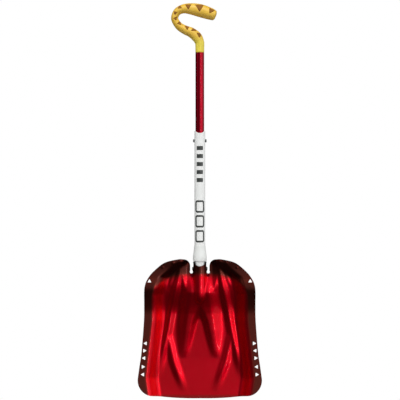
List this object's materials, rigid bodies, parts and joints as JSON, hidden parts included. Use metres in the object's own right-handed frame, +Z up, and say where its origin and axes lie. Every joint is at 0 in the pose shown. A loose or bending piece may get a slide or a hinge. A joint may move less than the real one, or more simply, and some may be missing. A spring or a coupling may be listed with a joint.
{
  "type": "avalanche shovel",
  "caption": "Snow shovel with a pressed metal blade that pulls off a socket, a telescoping two-part shaft with sprung lock buttons, and an open hooked hand grip.",
  "frame": {"origin": "on the shaft's axis at the blade's digging edge", "axes": "+Z up the shaft to the grip, +X the side that the grip's hook opens to, -Y the way the blade's hollow face looks"},
  "size_m": [0.264, 0.0395, 0.842],
  "materials": {
    "grip_plastic": "moulded, fine satin grain",
    "inlay_rubber": "matt",
    "red_anodised": "bright red anodised",
    "white_coating": "satin powder coat",
    "white_plastic": "satin moulded",
    "dark_plastic": "matt moulded",
    "button_plastic": "satin moulded",
    "spring_steel": "bright spring strip",
    "pin_steel": "plain",
    "rivet_metal": "anodised with the blade"
  },
  "bodies": {
    "handle": {"grip_body": "grip_plastic", "grip_inlays_front": "inlay_rubber", "grip_inlays_back": "inlay_rubber", "grip_pin": "pin_steel", "upper_shaft": "red_anodised", "guide_shoe": "dark_plastic", "shoe_pin": "pin_steel", "upper_lock_spring": "spring_steel"},
    "lower": {"lower_shaft": "white_coating", "shaft_bush": "dark_plastic", "stop_sleeve": "white_plastic", "lower_lock_spring": "spring_steel", "end_plug": "dark_plastic", "plug_pin": "pin_steel"},
    "blade_head": {"blade": "red_anodised", "socket_shell": "red_anodised", "socket_liner": "dark_plastic", "socket_rivets": "rivet_metal"},
    "upper_right": {"upper_button_right": "button_plastic"},
    "upper_left": {"upper_button_left": "button_plastic"},
    "lower_right": {"lower_button_right": "button_plastic"},
    "lower_left": {"lower_button_left": "button_plastic"}
  },
  "joints": [
    {"name": "shaft_slide", "type": "slide", "parent": "handle", "child": "lower", "axis": [0, 0, 1], "range_m": [0, 0.16], "deforming": ["upper_lock_spring", "upper_button_right", "upper_button_left"]},
    {"name": "blade_pull", "type": "slide", "parent": "lower", "child": "blade_head", "axis": [0, 0, -1], "range_m": [0, 0.07], "deforming": ["lower_lock_spring", "lower_button_right", "lower_button_left"]},
    {"name": "upper_right_press", "type": "slide", "parent": "handle", "child": "upper_right", "axis": [-1, 0, 0], "range_m": [0, 0.0043], "stiffness_N_per_m": 1500, "springref_m": -0.003},
    {"name": "upper_left_press", "type": "slide", "parent": "handle", "child": "upper_left", "axis": [1, 0, 0], "range_m": [0, 0.0043], "stiffness_N_per_m": 1500, "springref_m": -0.003},
    {"name": "lower_right_press", "type": "slide", "parent": "lower", "child": "lower_right", "axis": [-1, 0, 0], "range_m": [0, 0.005], "stiffness_N_per_m": 1500, "springref_m": -0.003},
    {"name": "lower_left_press", "type": "slide", "parent": "lower", "child": "lower_left", "axis": [1, 0, 0], "range_m": [0, 0.005], "stiffness_N_per_m": 1500, "springref_m": -0.003}
  ]
}
